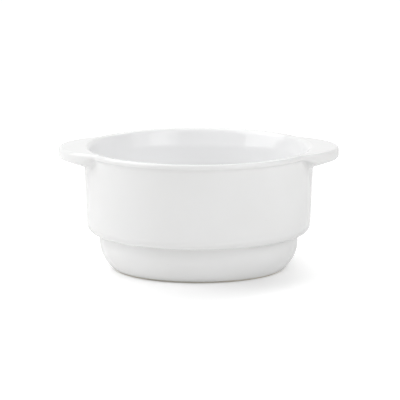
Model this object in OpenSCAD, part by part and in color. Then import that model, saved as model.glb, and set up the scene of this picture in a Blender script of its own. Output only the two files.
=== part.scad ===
// Lugged stacking soup crock in white glazed porcelain.
// Origin at the centre of the foot on the table, +Z up, +X through the right lug.
// Lengths in millimetres, angles in degrees.

/* [Wall] */
// Height from the table to the top of the rim
height = 64; // [55:0.5:75]
// Outer radius the leaning wall would have at the top of the rim
wall_r = 60; // [50:0.5:70]
// Angle by which the wall leans outwards
wall_draft = 2.35; // [0:0.05:5]
// Thickness of the wall
wall_t = 4.5; // [3:0.1:6]

/* [Rim] */
// Overhang of the rim roll past that radius of the wall
rim_out = 1.2; // [0.5:0.1:2]
// Height of the rim roll
rim_h = 3; // [2:0.1:5]
// Rounding of the mouth edge
mouth_round = 2.2; // [1.5:0.1:2.8]
// Depth below the rim at which the inside begins to flare
flare_h = 9; // [6:0.5:14]
// Widening of the mouth by that flare
flare_out = 1.7; // [0.5:0.1:2]

/* [Stacking step] */
// Height of the underside of the shoulder above the table
shoulder_z = 19; // [14:0.5:24]
// Rounding of the shoulder edge
shoulder_round = 5.1; // [2:0.1:6]
// Depth of the step from the wall's top radius in to the stacking band
step_in = 8.3; // [8:0.1:12]
// Height at which the band begins to curve in towards the foot
band_curve_z = 15; // [10:0.5:18]
// Radius of that curve
band_curve = 18.5; // [14:0.5:28]
// Cove where the band meets the shoulder
band_cove = 0.8; // [0.4:0.1:2]

/* [Inside] */
// Thickness of the floor
floor_t = 5; // [3.5:0.1:7]
// Rounding between the floor and the lower wall
floor_round = 10; // [5:0.5:11]
// Rounding of the inside step edge
step_round = 3.6; // [2:0.1:3.8]
// Cove between the inside step and the upper wall
step_cove = 2.8; // [1:0.1:3]

/* [Foot] */
// Height of the unglazed foot ring
foot_h = 0.8; // [0.7:0.1:3]
// Distance from the stacking band in to the outside of the foot ring
foot_in = 7.3; // [7:0.1:12]
// Width of the foot ring
foot_w = 5; // [3:0.1:8]
// Rounding of the edges that meet the table
foot_round = 0.4; // [0.2:0.1:0.6]
// Further rise of the underside inside the foot ring
foot_recess = 1; // [0.5:0.1:2]

/* [Lugs] */
// Reach of a lug past the wall's top radius
lug_out = 12.9; // [8:0.1:18]
// Radius of the lug outline
lug_r = 33; // [24:0.2:38]
// Depth of the lug top below the top of the rim
lug_drop = 0.1; // [0.1:0.05:0.6]
// Thickness of a lug at its edge
lug_t = 5.5; // [4:0.1:7]
// Rounding of the lug edge, above and below
lug_edge = 1.8; // [1:0.1:1.9]
// Slope of the lug underside down to the wall
lug_slope = 20; // [12:1:35]
// Share of the lower rounding at which the underside leaves it
under_share = 0.9; // [0.5:0.05:0.95]

/* [Slip joints] */
// Thickness of the slip between a lug and the wall
slip_t = 0.6; // [0.3:0.1:1]
// Width of slip showing around the root of a lug
slip_w = 1; // [0.5:0.1:2]

/* [Hidden] */
$fn = 128;
glaze_colour = [0.94, 0.94, 0.93];
lug_colour = [0.90, 0.91, 0.92];
slip_colour = [0.82, 0.84, 0.86];
biscuit_colour = [0.86, 0.83, 0.77];
// Run of every cut past the faces it opens
overrun = wall_t;
mouth_r = wall_r - wall_t;
flare_z = height - flare_h;
flare_lean = atan((mouth_r + flare_out - lean(mouth_r, flare_z)) / flare_h);
roll = rim_h / 2;
roll_r = wall_r + rim_out - roll;
roll_z = height - roll;
step_z = shoulder_z + wall_t;
band_r = wall_r - step_in;
foot_r = band_r - foot_in;
low_r = band_r - wall_t;
floor_z = foot_h + floor_t;
lug_c = wall_r + lug_out - lug_r;
lug_top = height - lug_drop;

// Radius at height z of a leaning wall that has radius top_r at the top of the rim
function lean(top_r, z) = top_r - (height - z) * tan(wall_draft);

// Section of a wall that leans from a rounded lower edge at z0 up to z1
module leaning_section(top_r, edge, z0, z1) {
    tz = z0 + edge - edge * sin(wall_draft);
    tr = lean(top_r, tz);
    cr = tr - edge * cos(wall_draft);
    polygon([[0, z0], [cr, z0], [tr, tz], [lean(top_r, z1), z1], [0, z1]]);
    translate([cr, z0 + edge])
        circle(edge);
}

// Section of the rim roll, filled to the axis
module roll_section(grow) {
    translate([0, roll_z - roll])
        square([roll_r, rim_h]);
    translate([roll_r, roll_z])
        circle(roll + grow);
}

// Section of the stacking band with its curve towards the foot
module band_section() {
    translate([0, foot_h])
        square([band_r - band_curve, shoulder_z - foot_h]);
    translate([0, band_curve_z])
        square([band_r, shoulder_z - band_curve_z]);
    intersection() {
        translate([band_r - band_curve, band_curve_z])
            circle(band_curve);
        translate([0, foot_h])
            square([band_r, band_curve_z - foot_h]);
    }
    difference() {
        translate([0, shoulder_z - band_cove])
            square([band_r + band_cove, band_cove]);
        translate([band_r + band_cove, shoulder_z - band_cove])
            circle(band_cove);
    }
}

// Outside of the crock without its lugs, filled solid
module bowl_blank() {
    rotate_extrude() {
        leaning_section(wall_r, shoulder_round, shoulder_z, roll_z);
        roll_section(0);
        band_section();
    }
}

// Section of the space for soup
module soup_section() {
    tz = height - mouth_round + mouth_round * sin(flare_lean);
    tr = mouth_r + flare_out - (height - tz) * tan(flare_lean);
    mr = tr + mouth_round * cos(flare_lean);
    mz = height - mouth_round;
    leaning_section(mouth_r, step_cove, step_z, flare_z);
    polygon([[0, flare_z], [lean(mouth_r, flare_z), flare_z], [tr, tz], [0, tz]]);
    difference() {
        polygon([[0, mz], [mr, mz], [mr, height + overrun], [0, height + overrun]]);
        translate([mr, mz])
            circle(mouth_round);
    }
    translate([0, floor_z])
        square([low_r - floor_round, step_z - floor_z]);
    translate([0, floor_z + floor_round])
        square([low_r, step_z - floor_z - floor_round]);
    translate([low_r - floor_round, floor_z + floor_round])
        circle(floor_round);
    difference() {
        translate([0, step_z - step_round])
            square([low_r + step_round, step_round]);
        translate([low_r + step_round, step_z - step_round])
            circle(step_round);
    }
}

// Hollow under the floor inside the foot ring
module underside_section() {
    r = foot_r - foot_w;
    translate([0, foot_h - overrun])
        square([r, overrun]);
    translate([0, foot_h - overrun])
        square([r - foot_recess, overrun + foot_recess]);
    translate([r - foot_recess, foot_h])
        circle(foot_recess);
}

module bowl() {
    color(glaze_colour)
        difference() {
            bowl_blank();
            rotate_extrude()
                soup_section();
            rotate_extrude()
                underside_section();
        }
}

module foot_ring() {
    flat_w = foot_w - 2 * foot_round;
    color(biscuit_colour)
        rotate_extrude()
            translate([foot_r - foot_w, 0]) {
                translate([foot_round, 0])
                    square([flat_w, foot_h]);
                translate([0, foot_round])
                    square([foot_w, foot_h - foot_round]);
                for (r = [foot_round, foot_w - foot_round])
                    translate([r, foot_round])
                        circle(foot_round);
            }
}

// Lug turned about its own upright axis: flat top, rounded edge, sloping underside
module lug_form(r, t) {
    nr = r - lug_edge;
    edge_z = lug_top - t + lug_edge;
    under_z = edge_z - lug_edge * under_share;
    low_z = under_z - nr * tan(lug_slope);
    translate([lug_c, 0, 0])
        rotate_extrude() {
            polygon([[0, low_z], [nr, under_z], [nr, lug_top], [0, lug_top]]);
            translate([0, edge_z])
                square([r, t - 2 * lug_edge]);
            for (z = [edge_z, lug_top - lug_edge])
                translate([nr, z])
                    circle(lug_edge);
        }
}

// Outside of the wall and rim roll, thickened by the slip
module slip_face() {
    side = slip_t / cos(wall_draft);
    foot = shoulder_z + shoulder_round;
    rotate_extrude() {
        polygon([
            [0, foot], [lean(wall_r, foot) + side, foot],
            [lean(wall_r, roll_z) + side, roll_z], [0, roll_z]
        ]);
        roll_section(slip_t);
    }
}

module lug() {
    color(lug_colour)
        difference() {
            lug_form(lug_r, lug_t);
            slip_face();
        }
}

module slip() {
    color(slip_colour)
        difference() {
            intersection() {
                lug_form(lug_r + slip_w, lug_t + slip_w);
                slip_face();
            }
            bowl_blank();
        }
}

module right_lug() {
    lug();
}

module left_lug() {
    rotate(180)
        lug();
}

module right_slip() {
    slip();
}

module left_slip() {
    rotate(180)
        slip();
}

bowl();
foot_ring();
left_lug();
right_lug();
left_slip();
right_slip();
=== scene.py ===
import math

import bmesh
import bpy
import numpy as np
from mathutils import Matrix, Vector


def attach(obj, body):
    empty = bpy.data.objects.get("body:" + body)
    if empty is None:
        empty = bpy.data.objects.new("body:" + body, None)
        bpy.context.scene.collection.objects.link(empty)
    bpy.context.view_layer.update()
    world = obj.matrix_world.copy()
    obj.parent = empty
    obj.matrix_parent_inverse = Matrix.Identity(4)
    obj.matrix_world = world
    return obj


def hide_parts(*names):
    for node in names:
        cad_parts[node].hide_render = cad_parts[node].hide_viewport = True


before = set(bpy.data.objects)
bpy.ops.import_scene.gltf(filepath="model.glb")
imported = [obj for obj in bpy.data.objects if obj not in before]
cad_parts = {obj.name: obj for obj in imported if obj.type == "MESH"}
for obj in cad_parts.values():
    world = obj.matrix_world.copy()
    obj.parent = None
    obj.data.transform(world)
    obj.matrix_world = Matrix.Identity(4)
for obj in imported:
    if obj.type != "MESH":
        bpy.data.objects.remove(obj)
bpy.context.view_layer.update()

MM = 0.001
# Points closer than this many metres are one point
SAME_POINT = 1e-7
# Least length that a direction is taken from
LEAST_LENGTH = 1e-12

# Sizes of the crock in millimetres, as in the solids
HEIGHT = 64.0
WALL_R = 60.0
WALL_DRAFT = math.radians(2.35)
WALL_T = 4.5
INNER_R = WALL_R - WALL_T
RIM_R = 61.2
RIM_H = 3.0
FLARE_H = 9.0
FLARE_OUT = 1.7
SHOULDER_Z = 19.0
SHOULDER_ROUND = 5.1
BAND_R = 51.7
BAND_CURVE_Z = 15.0
BAND_CURVE = 18.5
BAND_COVE = 0.8
STEP_Z = SHOULDER_Z + WALL_T
STEP_ROUND = 3.6
STEP_COVE = 2.8
FLOOR_Z = 5.8
FLOOR_ROUND = 10.0
FOOT_H = 0.8
FOOT_R = 44.4
FOOT_W = 5.0
FOOT_IN_R = FOOT_R - FOOT_W
FOOT_ROUND = 0.4
FOOT_RECESS = 1.0
LUG_REACH = 72.9
LUG_R = 33.0
LUG_T = 5.5
LUG_EDGE = 1.8
LUG_SLOPE = math.radians(20.0)

# Where the glaze softens an edge or runs one form into the next, in millimetres
GLAZE_EDGE = 0.4
RECESS_COVE = 0.98
MOUTH_ROUND = 3.0
FLARE_ROUND = 14.0
RIM_UNDERCUT = 1.1
RIM_UNDERCUT_ROUND = 2.2
RIM_LOW_ROUND = 1.1
UNDER_RIM_Z = HEIGHT - RIM_H - RIM_UNDERCUT / 2
LUG_BLEND_R = 7.0
LUG_COVE = 2.4
INSIDE_FADE = 1.5

# How finely the turned pieces are cut
BOWL_STEPS = {"Turn steps": 360, "Corner steps": 12, "Longest run": 1.6 * MM, "Weld": 0.0005 * MM}
FOOT_STEPS = {"Turn steps": 240, "Corner steps": 6, "Longest run": 0.6 * MM, "Weld": 0.0005 * MM}

# The skin of a lug: sections across it, its width in shares of the run into the rim, and rows of points
LUG_SECTIONS = 301
SKIN_SPREAD = 1.35
ROUND_STEPS = 14
TOP_ROWS = 9
EDGE_ROWS = 3
UNDER_ROWS = 7
# Reach past the rim from which a section is all lug, and where the skin starts and ends, in millimetres
FULL_REACH = 6.0
CREST_R = 59.6
SKIN_TAIL = 1.0
# How far the skin stands out of the bowl, how far its edges sink in, and how deep its back lies
SKIN_PROUD = 0.012
SKIN_SUNK = 0.03
SKIN_BACK_R = 57.6
# Turn in radians over which the two ends of the skin sink in
SKIN_FADE = 0.07

# White glaze: scale and detail of its patterns, and the range over which each sets in
CLOUD_NOISE = (38.0, 3.0)
CLOUD_RANGE = (0.3, 0.7)
WAVE_NOISE = (55.0, 1.0)
PEEL_NOISE = (620.0, 2.0)
SPECK_SCALE = 260.0
SPECK_RANGE = (0.02, 0.06)
SPECK_PICK = (0.90, 0.93)
# Where the glaze is tinted darker (in the shoulder crease pooled glaze and painted shade, on the low edge
# darker towards the foot) and where thumbs rub it, in millimetres
CREASE_FADE = 1.2
CREASE_REACH = (BAND_R - 3.0, BAND_R - 1.0)
LOW_EDGE_RISE = (FOOT_H, FOOT_H + 2.5)
LOW_EDGE_REACH = (FOOT_R, FOOT_R + 0.6)
THUMB_SIDE = (8.0, 16.0)
THUMB_RISE = (48.0, 54.0)
# Colours of the glaze, its inside painted lighter and bluer for the light there, and how strongly the
# darker tint (pooled glaze and painted shade in the crease) and specks show
GLAZE_THIN = (0.872, 0.872, 0.866, 1.0)
GLAZE_FULL = (0.886, 0.887, 0.884, 1.0)
# Painted light: the inside is lighter and bluer, standing in for the light that falls inside the bowl
INSIDE_PAINTED_LIGHT = (0.918, 0.920, 0.924, 1.0)
# A darker tint: pooled glaze and painted shade in the shoulder crease, darker towards the foot on the low
# edge
GLAZE_DARKER_TINT = (0.800, 0.806, 0.770, 1.0)
SPECK_BROWN = (0.52, 0.48, 0.42, 1.0)
CREASE_SHARE = 0.20
LOW_EDGE_SHARE = 0.30
SPECK_SHARE = 0.35
# Gloss of the glaze, what dulls it, and its faint relief
GLAZE_IOR = 1.52
GLAZE_ROUGH = 0.03
CLOUD_ROUGH = 0.04
SPECK_ROUGH = 0.2
THUMB_ROUGH = 0.2
WAVE_SHARE = 0.7
PEEL_SHARE = 0.3
GLAZE_RELIEF = (0.06, 0.25 * MM)

# Bare clay of the foot
GRIT_NOISE = (2400.0, 4.0)
STAIN_NOISE = (90.0, 4.0)
STAIN_RANGE = (0.35, 0.7)
RUBBED_RISE = (0.05, 0.5)
CLAY_DARK = (0.66, 0.61, 0.53, 1.0)
CLAY_PALE = (0.74, 0.70, 0.62, 1.0)
CLAY_RUBBED = (0.80, 0.78, 0.73, 1.0)
CLAY_ROUGH = 0.78
GRIT_ROUGH = 0.15
CLAY_RELIEF = (0.5, 0.08 * MM)

# The table: half its width in metres, its colour, and how much it glows in the painted shadow pool around
# the crock and away from it
TABLE_HALF = 4.0
TABLE_WHITE = (0.95, 0.95, 0.95, 1.0)
GLOW_IN_PAINTED_SHADOW = (0.054, 0.054, 0.054, 1.0)
GLOW_AWAY = (0.42, 0.42, 0.42, 1.0)
# The oval of painted shadow, where the glow is held low and then grows: its centre and two radii in
# millimetres, and its narrowing in depth
PAINTED_SHADOW_Y = -15.0
PAINTED_SHADOW_RISE = (24.7, 75.8)
PAINTED_SHADOW_SQUEEZE = 0.5

# The room's even light, and lamps by azimuth, elevation, distance, width and height, and power
ROOM_WHITE = (1.0, 1.0, 1.0, 1.0)
ROOM_LIGHT = 0.262
LAMPS = [
    ("left_softbox", 189.0, 33.0, 1.1, (1.1, 0.9), 6.2),
    ("right_softbox", 322.0, 33.0, 1.3, (1.4, 1.15), 5.75),
    ("right_softbox_core", 315.0, 33.0, 1.28, (0.5, 1.0), 2.2),
    ("back_softbox", 125.0, 60.0, 1.3, (2.4, 0.9), 8.6),
]

# The eye: place in metres, tilt below level in degrees, focus in pixels of a frame 400 wide
EYE_PLACE = (0.00064, -2.0, 0.3945)
EYE_TILT = 10.182
EYE_FOCUS = 3895.1
EYE_FRAME = 400.0
EYE_SENSOR = 36.0
EYE_REACH = 20.0

# Sockets of a colour Mix node
MIX_FIRST = 6
MIX_SECOND = 7
MIX_RESULT = 2


def lean(top_r, z):
    """Radius at height z of a leaning wall that has radius top_r at the top of the rim."""
    return top_r - (HEIGHT - z) * math.tan(WALL_DRAFT)


def mm(lengths):
    return [length * MM for length in lengths]


def ease(t):
    """Runs smoothly from zero to one while t does."""
    t = np.clip(t, 0.0, 1.0)
    return t * t * (3.0 - 2.0 * t)


def unit(v):
    return v / np.maximum(np.linalg.norm(v, axis=-1, keepdims=True), LEAST_LENGTH)


class Wire:
    """An output socket that takes part in sums."""

    def __init__(self, bench, socket):
        self.bench = bench
        self.socket = socket

    def sum_node(self, operation, a, b):
        return self.bench.put("ShaderNodeMath", {"operation": operation}, {0: a, 1: b}).out()

    def __add__(self, other):
        return self.sum_node("ADD", self, other)

    def __radd__(self, other):
        return self.sum_node("ADD", other, self)

    def __sub__(self, other):
        return self.sum_node("SUBTRACT", self, other)

    def __rsub__(self, other):
        return self.sum_node("SUBTRACT", other, self)

    def __mul__(self, other):
        return self.sum_node("MULTIPLY", self, other)

    def __rmul__(self, other):
        return self.sum_node("MULTIPLY", other, self)

    def __truediv__(self, other):
        return self.sum_node("DIVIDE", self, other)

    def __rtruediv__(self, other):
        return self.sum_node("DIVIDE", other, self)

    def __pow__(self, other):
        return self.sum_node("POWER", self, other)

    def __rpow__(self, other):
        return self.sum_node("POWER", other, self)

    def size(self):
        return self.sum_node("ABSOLUTE", self, 0)

    def floor(self):
        return self.sum_node("FLOOR", self, 0)

    def modulo(self, other):
        return self.sum_node("MODULO", self, other)

    def larger(self, other):
        return self.sum_node("MAXIMUM", self, other)

    def cos(self):
        return self.sum_node("COSINE", self, 0)

    def sin(self):
        return self.sum_node("SINE", self, 0)

    def step(self, low, high):
        """Rises smoothly from zero at LOW to one at HIGH."""
        return self.bench.put(
            "ShaderNodeMapRange",
            {"interpolation_type": "SMOOTHSTEP"},
            {"Value": self, "From Min": low, "From Max": high},
        ).out()


class Placed:
    """A node in a tree, with its outputs at hand."""

    def __init__(self, bench, node):
        self.bench = bench
        self.node = node

    def out(self, key=0):
        return Wire(self.bench, self.node.outputs[key])


class Bench:
    """A node tree that is being wired up."""

    def __init__(self, tree):
        self.tree = tree

    def put(self, kind, settings=None, sockets=None):
        """Adds a node, sets its settings, then gives its sockets their values or links."""
        node = self.tree.nodes.new(kind)
        for name, value in (settings or {}).items():
            setattr(node, name, value)
        for key, value in (sockets or {}).items():
            socket = node.inputs[key]
            if isinstance(value, Wire):
                self.tree.links.new(value.socket, socket)
            else:
                socket.default_value = value
        return Placed(self, node)

    def noise(self, place, scale, detail):
        sockets = {"Vector": place, "Scale": scale, "Detail": detail}
        return self.put("ShaderNodeTexNoise", None, sockets).out("Fac")

    def mix(self, share, first, second):
        """Colour that goes from the first to the second as the share goes from zero to one."""
        sockets = {"Factor": share, MIX_FIRST: first, MIX_SECOND: second}
        return self.put("ShaderNodeMix", {"data_type": "RGBA"}, sockets).out(MIX_RESULT)

    def relief(self, height, strength, distance):
        sockets = {"Strength": strength, "Distance": distance, "Height": height}
        return self.put("ShaderNodeBump", None, sockets).out()

    def place(self):
        """Object coordinates, whole and as x, y and z."""
        whole = self.put("ShaderNodeTexCoord").out("Object")
        parts = self.put("ShaderNodeSeparateXYZ", None, {0: whole})
        return whole, parts.out(0), parts.out(1), parts.out(2)

    def shown(self, path):
        """One on rays from the eye, off gloss and through glass, zero where light falls on things."""
        eye, gloss = path.out("Is Camera Ray"), path.out("Is Glossy Ray")
        return eye.larger(gloss).larger(path.out("Is Transmission Ray"))


def new_material(name):
    material = bpy.data.materials.new(name)
    material.use_nodes = True
    material.node_tree.nodes.clear()
    return material, Bench(material.node_tree)


def put_out(name, data):
    """Stands data in the scene as an object at the origin."""
    thing = bpy.data.objects.new(name, data)
    bpy.context.scene.collection.objects.link(thing)
    return thing


def glaze_material():
    """White porcelain glaze: specked, faintly uneven and duller where thumbs hold it; painted lighter and
    bluer inside for the light there, and tinted darker in the shoulder crease, partly pooled glaze and
    partly painted shade, and towards the foot on the low edge.
    """
    material, bench = new_material("white_glaze")
    place, x, y, z = bench.place()
    radius = (x * x + y * y) ** 0.5
    inside = bench.put("ShaderNodeAttribute", {"attribute_name": "inside_share"}).out("Fac")
    cloud = bench.noise(place, *CLOUD_NOISE)
    wave = bench.noise(place, *WAVE_NOISE)
    peel = bench.noise(place, *PEEL_NOISE)
    cell = bench.put("ShaderNodeTexVoronoi", {"feature": "F1"}, {"Vector": place, "Scale": SPECK_SCALE})
    picked = bench.put("ShaderNodeSeparateColor", None, {0: cell.out("Color")}).out(0)
    specks = (1.0 - cell.out("Distance").step(*SPECK_RANGE)) * picked.step(*SPECK_PICK)
    # The shoulder crease is tinted darker, partly pooled glaze and partly painted shade; the low edge
    # just above the foot is darker towards the foot
    crease_z = (SHOULDER_Z - BAND_COVE / 2) * MM
    crease = 1.0 - (z - crease_z).size().step(0.0, CREASE_FADE * MM)
    crease_pool_and_shade = crease * radius.step(*mm(CREASE_REACH))
    low_edge_darkening = (1.0 - z.step(*mm(LOW_EDGE_RISE))) * radius.step(*mm(LOW_EDGE_REACH))
    thumbed = inside * (1.0 - y.size().step(*mm(THUMB_SIDE))) * z.step(*mm(THUMB_RISE))
    colour = bench.mix(cloud.step(*CLOUD_RANGE), GLAZE_THIN, GLAZE_FULL)
    # Painted light: the inside turns lighter and bluer
    colour = bench.mix(inside, colour, INSIDE_PAINTED_LIGHT)
    # Darker tint: pooled glaze with painted shade in the shoulder crease, darker towards the foot on the
    # low edge
    colour = bench.mix(crease_pool_and_shade * CREASE_SHARE + low_edge_darkening * LOW_EDGE_SHARE, colour, GLAZE_DARKER_TINT)
    colour = bench.mix(specks * SPECK_SHARE, colour, SPECK_BROWN)
    dulled = cloud * CLOUD_ROUGH + specks * SPECK_ROUGH + thumbed * THUMB_ROUGH
    gloss = bench.put(
        "ShaderNodeBsdfPrincipled",
        None,
        {
            "Base Color": colour,
            "Roughness": GLAZE_ROUGH + dulled,
            "IOR": GLAZE_IOR,
            "Normal": bench.relief(wave * WAVE_SHARE + peel * PEEL_SHARE, *GLAZE_RELIEF),
        },
    ).out()
    bench.put("ShaderNodeOutputMaterial", None, {"Surface": gloss})
    return material


def biscuit_material():
    """Bare fired clay of the foot: warm, dull and finely gritty, rubbed paler on its standing face."""
    material, bench = new_material("bare_biscuit")
    place, _, _, z = bench.place()
    grit = bench.noise(place, *GRIT_NOISE)
    stain = bench.noise(place, *STAIN_NOISE)
    clay = bench.mix(stain.step(*STAIN_RANGE), CLAY_DARK, CLAY_PALE)
    rubbed = (1.0 - z.step(*mm(RUBBED_RISE))) * stain
    dull = bench.put(
        "ShaderNodeBsdfPrincipled",
        None,
        {
            "Base Color": bench.mix(rubbed, clay, CLAY_RUBBED),
            "Roughness": CLAY_ROUGH + grit * GRIT_ROUGH,
            "Normal": bench.relief(grit, *CLAY_RELIEF),
        },
    ).out()
    bench.put("ShaderNodeOutputMaterial", None, {"Surface": dull})
    return material


def turning_tree():
    """Rounds the corners of a section and turns it about the upright axis."""
    tree = bpy.data.node_groups.new("turned_section", "GeometryNodeTree")
    ports = tree.interface
    ports.new_socket(name="Section", in_out="INPUT", socket_type="NodeSocketGeometry")
    ids = {}
    for name, kind in (
        ("Turn steps", "NodeSocketInt"),
        ("Corner steps", "NodeSocketInt"),
        ("Longest run", "NodeSocketFloat"),
        ("Weld", "NodeSocketFloat"),
        ("Finish", "NodeSocketMaterial"),
    ):
        ids[name] = ports.new_socket(name=name, in_out="INPUT", socket_type=kind).identifier
    ports.new_socket(name="Piece", in_out="OUTPUT", socket_type="NodeSocketGeometry")
    bench = Bench(tree)
    given = bench.put("NodeGroupInput")
    # The section with its corners rounded and its long runs cut up
    line = bench.put("GeometryNodeMeshToCurve", None, {"Mesh": given.out("Section")}).out()
    corner = bench.put(
        "GeometryNodeInputNamedAttribute", {"data_type": "FLOAT"}, {"Name": "corner"}
    ).out("Attribute")
    softened = bench.put(
        "GeometryNodeFilletCurve",
        {"mode": "POLY"},
        {"Curve": line, "Count": given.out("Corner steps"), "Radius": corner, "Limit Radius": True},
    ).out()
    along = bench.put("GeometryNodeSplineParameter").out("Length")
    index = bench.put("GeometryNodeInputIndex").out()
    ahead = bench.put(
        "GeometryNodeFieldAtIndex",
        {"domain": "POINT", "data_type": "FLOAT"},
        {"Value": along, "Index": index + 1},
    ).out()
    cuts = ((ahead - along) / given.out("Longest run")).larger(0).floor()
    runs = bench.put("GeometryNodeSubdivideCurve", None, {"Curve": softened, "Cuts": cuts}).out()
    # A sheet with one column for each point of the section, wrapped around the axis
    count = bench.put(
        "GeometryNodeAttributeDomainSize", {"component": "CURVE"}, {"Geometry": runs}
    ).out("Point Count")
    turns = given.out("Turn steps")
    sheet = bench.put(
        "GeometryNodeMeshGrid", None, {"Vertices X": count, "Vertices Y": turns + 1}
    ).out("Mesh")
    spot = bench.put("GeometryNodeInputIndex").out()
    across = (spot / (turns + 1)).floor()
    around = spot.modulo(turns + 1)
    angle = around * (2 * math.pi) / turns
    section_place = bench.put("GeometryNodeInputPosition").out()
    taken = bench.put(
        "GeometryNodeSampleIndex",
        {"data_type": "FLOAT_VECTOR", "domain": "POINT"},
        {"Geometry": runs, "Value": section_place, "Index": across},
    ).out()
    parts = bench.put("ShaderNodeSeparateXYZ", None, {0: taken})
    radius, z = parts.out(0), parts.out(2)
    there = bench.put(
        "ShaderNodeCombineXYZ", None, {0: radius * angle.cos(), 1: radius * angle.sin(), 2: z}
    ).out()
    turned = bench.put("GeometryNodeSetPosition", None, {"Geometry": sheet, "Position": there}).out()
    welded = bench.put(
        "GeometryNodeMergeByDistance", None, {"Geometry": turned, "Distance": given.out("Weld")}
    ).out()
    smooth = bench.put("GeometryNodeSetShadeSmooth", None, {"Geometry": welded}).out()
    real = bench.put("GeometryNodeRealizeInstances", None, {"Geometry": smooth}).out()
    finished = bench.put(
        "GeometryNodeSetMaterial", None, {"Geometry": real, "Material": given.out("Finish")}
    ).out()
    bench.put("NodeGroupOutput", None, {0: finished})
    return tree, ids


def face_outwards(mesh):
    """Merges doubled points and turns every face of a closed mesh outwards."""
    work = bmesh.new()
    work.from_mesh(mesh)
    bmesh.ops.remove_doubles(work, verts=work.verts, dist=SAME_POINT)
    bmesh.ops.recalc_face_normals(work, faces=work.faces)
    if work.calc_volume(signed=True) < 0:
        bmesh.ops.reverse_faces(work, faces=work.faces)
    work.to_mesh(mesh)
    work.free()


def turned_piece(name, turning, section, steps, material):
    """Makes a closed piece by turning a section: (radius, height, corner rounding) in millimetres."""
    tree, ids = turning
    mesh = bpy.data.meshes.new(name + "_section")
    mesh.from_pydata(
        [(r * MM, 0.0, z * MM) for r, z, _ in section],
        [(i, i + 1) for i in range(len(section) - 1)],
        [],
    )
    corner = mesh.attributes.new("corner", "FLOAT", "POINT")
    corner.data.foreach_set("value", [c * MM for _, _, c in section])
    draft = put_out(name + "_section", mesh)
    modifier = draft.modifiers.new("turning", "NODES")
    modifier.node_group = tree
    for key, value in steps.items():
        modifier[ids[key]] = value
    modifier[ids["Finish"]] = material
    graph = bpy.context.evaluated_depsgraph_get()
    made = bpy.data.meshes.new_from_object(draft.evaluated_get(graph), depsgraph=graph)
    draft.modifiers.remove(modifier)
    bpy.data.objects.remove(draft)
    made.name = name
    face_outwards(made)
    return put_out(name, made)


def bowl_section():
    """Section of the bowl from the middle of its underside, up outside, over the lip and down inside."""
    curve_turn = math.asin((BAND_CURVE_Z - FOOT_H) / BAND_CURVE)
    tangent = BAND_CURVE * math.tan(curve_turn / 2)
    end_r = BAND_R - BAND_CURVE + BAND_CURVE * math.cos(curve_turn)
    recess_z = FOOT_H + FOOT_RECESS
    flare_z = HEIGHT - FLARE_H
    return [
        (0.0, recess_z, 0.0),
        (FOOT_IN_R, recess_z, RECESS_COVE),
        (FOOT_IN_R, FOOT_H, 0.0),
        (end_r, FOOT_H, GLAZE_EDGE),
        (BAND_R, BAND_CURVE_Z - tangent, BAND_CURVE),
        (BAND_R, SHOULDER_Z, BAND_COVE),
        (lean(WALL_R, SHOULDER_Z), SHOULDER_Z, SHOULDER_ROUND),
        (lean(WALL_R, UNDER_RIM_Z), UNDER_RIM_Z, RIM_UNDERCUT_ROUND),
        (RIM_R, UNDER_RIM_Z + RIM_UNDERCUT, RIM_LOW_ROUND),
        (RIM_R, HEIGHT, RIM_H / 2),
        (INNER_R + FLARE_OUT, HEIGHT, MOUTH_ROUND),
        (lean(INNER_R, flare_z), flare_z, FLARE_ROUND),
        (lean(INNER_R, STEP_Z), STEP_Z, STEP_COVE),
        (BAND_R - WALL_T, STEP_Z, STEP_ROUND),
        (BAND_R - WALL_T, FLOOR_Z, FLOOR_ROUND),
        (0.0, FLOOR_Z, 0.0),
    ]


def foot_section():
    """Section of the foot ring, once around from the middle of its hidden top."""
    middle = (FOOT_IN_R + FOOT_R) / 2
    return [
        (middle, FOOT_H, 0.0),
        (FOOT_IN_R, FOOT_H, 0.0),
        (FOOT_IN_R, 0.0, FOOT_ROUND),
        (FOOT_R, 0.0, FOOT_ROUND),
        (FOOT_R, FOOT_H, 0.0),
        (middle, FOOT_H, 0.0),
    ]


def mark_inside(mesh):
    """Notes for each point of the bowl how far it is on the inside, where the glaze is painted lighter
    and bluer, standing in for the light inside the bowl.
    """
    places = np.empty(len(mesh.vertices) * 3)
    mesh.vertices.foreach_get("co", places)
    x, y, z = places.reshape(-1, 3).T / MM
    radius = np.hypot(x, y)
    drop = np.maximum(BAND_CURVE_Z - z, 0.0)
    band = BAND_R - BAND_CURVE + np.sqrt(BAND_CURVE**2 - drop**2)
    outer = np.where(z > SHOULDER_Z + WALL_T / 2, lean(WALL_R, z), band)
    floor_middle = (FOOT_H + FOOT_RECESS + FLOOR_Z) / 2
    depth = np.minimum(outer - WALL_T / 2 - radius, z - floor_middle)
    inside = mesh.attributes.new("inside_share", "FLOAT", "POINT")
    inside.data.foreach_set("value", ease(depth / INSIDE_FADE + 0.5))


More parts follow.
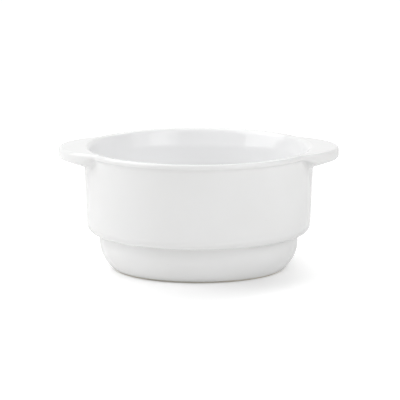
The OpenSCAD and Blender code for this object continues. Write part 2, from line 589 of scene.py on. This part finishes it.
def lug_outline():
    """Azimuths across the right lug, and at each the distance from the axis to the edge of lug or rim."""
    centre = LUG_REACH - LUG_R
    far, near = RIM_R + LUG_BLEND_R, LUG_R + LUG_BLEND_R
    blend_x = (far**2 - near**2 + centre**2) / (2 * centre)
    blend_y = math.sqrt(far**2 - blend_x**2)
    rim_end = math.atan2(blend_y, blend_x)
    lug_share = LUG_R / near
    lug_end = math.atan2(blend_y * lug_share, centre + (blend_x - centre) * lug_share)
    azimuth = np.linspace(-SKIN_SPREAD * rim_end, SKIN_SPREAD * rim_end, LUG_SECTIONS)
    side = np.abs(azimuth)
    beside = centre * np.sin(side)
    on_lug = centre * np.cos(side) + np.sqrt(np.maximum(LUG_R**2 - beside**2, 0.0))
    ahead = blend_x * np.cos(side) + blend_y * np.sin(side)
    aside = blend_y * np.cos(side) - blend_x * np.sin(side)
    on_blend = ahead - np.sqrt(np.maximum(LUG_BLEND_R**2 - aside**2, 0.0))
    edge = np.where(side < lug_end, on_lug, np.where(side < rim_end, on_blend, RIM_R))
    return azimuth, edge


def rounded(before, corner, after, rounding):
    """Rows of points around one corner of every section, with that corner rounded."""
    back, ahead = unit(before - corner), unit(after - corner)
    turn = math.pi - np.arccos(np.clip(np.sum(back * ahead, axis=1), -1.0, 1.0))
    start = corner + back * (rounding * np.tan(turn / 2))[:, None]
    centre = corner + unit(back + ahead) * (rounding / np.cos(turn / 2))[:, None]
    out = start - centre
    swing = -back * rounding[:, None]
    angles = [turn * k / ROUND_STEPS for k in range(ROUND_STEPS + 1)]
    return [centre + out * np.cos(a)[:, None] + swing * np.sin(a)[:, None] for a in angles]


def between(first, last, count):
    """COUNT rows spaced evenly between two rows, without either of them."""
    return [first + (last - first) * k / (count + 1) for k in range(1, count + 1)]


def lug_skin():
    """Rows over the right lug, its cove and some wall, how many are the lug's, and how its ends sink."""
    azimuth, edge = lug_outline()
    share = ease((edge - RIM_R) / FULL_REACH)

    def mixed(on_rim, on_lug):
        return on_rim + (on_lug - on_rim) * share

    def section(radius, z):
        return np.column_stack([np.broadcast_to(radius, edge.shape), np.broadcast_to(z, edge.shape)])

    low_z = mixed(UNDER_RIM_Z + RIM_UNDERCUT, HEIGHT - LUG_T)
    root_z = mixed(UNDER_RIM_Z, HEIGHT - LUG_T - (edge - WALL_R) * math.tan(LUG_SLOPE))
    cove = mixed(RIM_UNDERCUT_ROUND, LUG_COVE)
    tail_z = root_z - cove - SKIN_TAIL
    crest = section(CREST_R, HEIGHT)
    top = section(edge, HEIGHT)
    low = section(edge, low_z)
    root = section(lean(WALL_R, root_z), root_z)
    end = section(lean(WALL_R, tail_z), tail_z)
    top_round = rounded(crest, top, low, mixed(RIM_H / 2, LUG_EDGE))
    low_round = rounded(top, low, root, mixed(RIM_LOW_ROUND, LUG_EDGE))
    root_round = rounded(low, root, end, cove)
    lug = [crest] + between(crest, top_round[0], TOP_ROWS) + top_round
    lug += between(top_round[-1], low_round[0], EDGE_ROWS) + low_round
    lug += between(low_round[-1], root_round[0], UNDER_ROWS) + root_round[:1]
    flat = np.array(lug + root_round[1:] + [end])
    radius, z = flat[..., 0], flat[..., 1]
    rows = np.stack([radius * np.cos(azimuth), radius * np.sin(azimuth), z], axis=-1)
    from_end = (np.abs(azimuth[0]) - np.abs(azimuth)) / SKIN_FADE
    return rows, len(lug), 1.0 - ease(from_end)


def tangents(rows, axis):
    """Directions along a grid of points, each the mean of the steps before and after it."""
    steps = unit(np.diff(rows, axis=axis))
    first, last = np.take(steps, [0], axis=axis), np.take(steps, [-1], axis=axis)
    before = np.concatenate([first, steps], axis=axis)
    after = np.concatenate([steps, last], axis=axis)
    return before + after


def skin_piece(name, rows, normals, hidden, half_turn, material):
    """Closes a strip of skin behind with hidden rows and caps, and keeps the skin's own normals."""
    loop = np.concatenate([rows, hidden])
    n_rows, n_across, _ = loop.shape
    turn = np.array([-1.0, -1.0, 1.0]) if half_turn else np.ones(3)
    verts = (loop * turn * MM).reshape(-1, 3)
    faces = []
    for i in range(n_rows):
        here, there = i * n_across, (i + 1) % n_rows * n_across
        faces += [(here + k, there + k, there + k + 1, here + k + 1) for k in range(n_across - 1)]
    faces.append(tuple(i * n_across for i in reversed(range(n_rows))))
    faces.append(tuple(i * n_across + n_across - 1 for i in range(n_rows)))
    mesh = bpy.data.meshes.new(name)
    mesh.from_pydata(verts.tolist(), [], faces)
    mesh.materials.append(material)
    face_outwards(mesh)
    mesh.polygons.foreach_set("use_smooth", [True] * len(mesh.polygons))
    shading = np.array([v.normal for v in mesh.vertices])
    shading[: normals.shape[0] * n_across] = (normals * turn).reshape(-1, 3)
    mesh.normals_split_custom_set_from_vertices(shading.tolist())
    return put_out(name, mesh)


def lug_pieces(material):
    """Both lugs and the slip that joins them to the wall, as one skin parted along the root."""
    rows, lug_rows, sinking = lug_skin()
    normals = unit(np.cross(tangents(rows, 0), tangents(rows, 1)))
    middle = normals.shape[1] // 2
    normals *= np.sign(normals[0, middle, 2])
    normals[0] = normals[1]
    buried = np.zeros(rows.shape[:2]) + sinking
    buried[[0, -1]] = 1.0
    rows = rows + normals * (SKIN_PROUD - (SKIN_PROUD + SKIN_SUNK) * buried)[..., None]

    def set_in(row, z):
        flat = SKIN_BACK_R * unit(row[:, :2])
        return np.column_stack([flat, np.broadcast_to(z, len(flat))])

    lug, slip = rows[:lug_rows], rows[lug_rows - 1:]
    behind_lug = np.array([set_in(lug[-1], lug[-1][:, 2]), set_in(lug[0], HEIGHT - MOUTH_ROUND / 2)])
    behind_slip = np.array([set_in(slip[-1], slip[-1][:, 2]), set_in(slip[0], slip[0][:, 2])])
    made = {}
    for side, half_turn in (("right", False), ("left", True)):
        made[side + "_lug"] = skin_piece(
            side + "_lug_handle", lug, normals[:lug_rows], behind_lug, half_turn, material
        )
        made[side + "_slip"] = skin_piece(
            side + "_lug_joint", slip, normals[lug_rows - 1:], behind_slip, half_turn, material
        )
    return made


def lay_floor():
    """A white table that keeps the crock's shadow, with a painted shadow pool around the crock where its
    glow is held low, and shows the eye a white ground.
    """
    corners = [(-1, -1), (1, -1), (1, 1), (-1, 1)]
    mesh = bpy.data.meshes.new("table_top")
    mesh.from_pydata([(x * TABLE_HALF, y * TABLE_HALF, 0.0) for x, y in corners], [], [(0, 1, 2, 3)])
    material, bench = new_material("white_table")
    path = bench.put("ShaderNodeLightPath")
    _, x, y, _ = bench.place()
    # Painted shadow: the glow to the eye stays low in an oval around the crock and rises away from it
    deep = (y - PAINTED_SHADOW_Y * MM) * PAINTED_SHADOW_SQUEEZE
    away = ((x * x + deep * deep) ** 0.5).step(*mm(PAINTED_SHADOW_RISE)) * path.out("Is Camera Ray")
    glow_around_painted_shadow = bench.mix(away, GLOW_IN_PAINTED_SHADOW, GLOW_AWAY)
    paper = bench.put("ShaderNodeBsdfDiffuse", None, {"Color": TABLE_WHITE}).out()
    glow = bench.put("ShaderNodeEmission", None, {"Color": glow_around_painted_shadow, "Strength": bench.shown(path)}).out()
    both = bench.put("ShaderNodeAddShader", None, {0: paper, 1: glow}).out()
    bench.put("ShaderNodeOutputMaterial", None, {"Surface": both})
    mesh.materials.append(material)
    put_out("table_top", mesh)


def light_room():
    """A room that looks white and gives even light, and soft lamps aimed at the middle of the crock."""
    world = bpy.data.worlds.new("white_room")
    bpy.context.scene.world = world
    world.use_nodes = True
    world.node_tree.nodes.clear()
    bench = Bench(world.node_tree)
    shown = bench.shown(bench.put("ShaderNodeLightPath"))
    strength = shown + (1.0 - shown) * ROOM_LIGHT
    room = bench.put("ShaderNodeBackground", None, {"Color": ROOM_WHITE, "Strength": strength}).out()
    bench.put("ShaderNodeOutputWorld", None, {"Surface": room})
    aim = Vector((0.0, 0.0, HEIGHT / 2 * MM))
    for name, azimuth, elevation, distance, size, power in LAMPS:
        lamp = bpy.data.lights.new(name, "AREA")
        lamp.shape = "RECTANGLE"
        lamp.size, lamp.size_y = size
        lamp.energy = power
        side, rise = math.radians(azimuth), math.radians(elevation)
        level = math.cos(rise)
        away = Vector((level * math.cos(side), level * math.sin(side), math.sin(rise)))
        holder = put_out(name, lamp)
        holder.location = aim + away * distance
        holder.rotation_euler = (-away).to_track_quat("-Z", "Y").to_euler()


def set_camera():
    camera = bpy.data.cameras.new("eye")
    camera.sensor_width = EYE_SENSOR
    camera.lens = EYE_FOCUS * EYE_SENSOR / EYE_FRAME
    camera.clip_end = EYE_REACH
    holder = put_out("eye", camera)
    holder.location = EYE_PLACE
    holder.rotation_euler = (math.radians(90.0 - EYE_TILT), 0.0, 0.0)
    bpy.context.scene.camera = holder


turning = turning_tree()
glaze = glaze_material()
biscuit = biscuit_material()
pieces = {
    "bowl": (turned_piece("crock_bowl", turning, bowl_section(), BOWL_STEPS, glaze), "glaze"),
    "foot_ring": (turned_piece("bare_foot", turning, foot_section(), FOOT_STEPS, biscuit), "biscuit"),
}
mark_inside(pieces["bowl"][0].data)
for node, piece in lug_pieces(glaze).items():
    pieces[node] = (piece, "glaze")
for node, (piece, slot) in pieces.items():
    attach(piece, "root")
    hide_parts(node)

lay_floor()
light_room()
set_camera()
bpy.context.scene.view_settings.view_transform = "Standard"
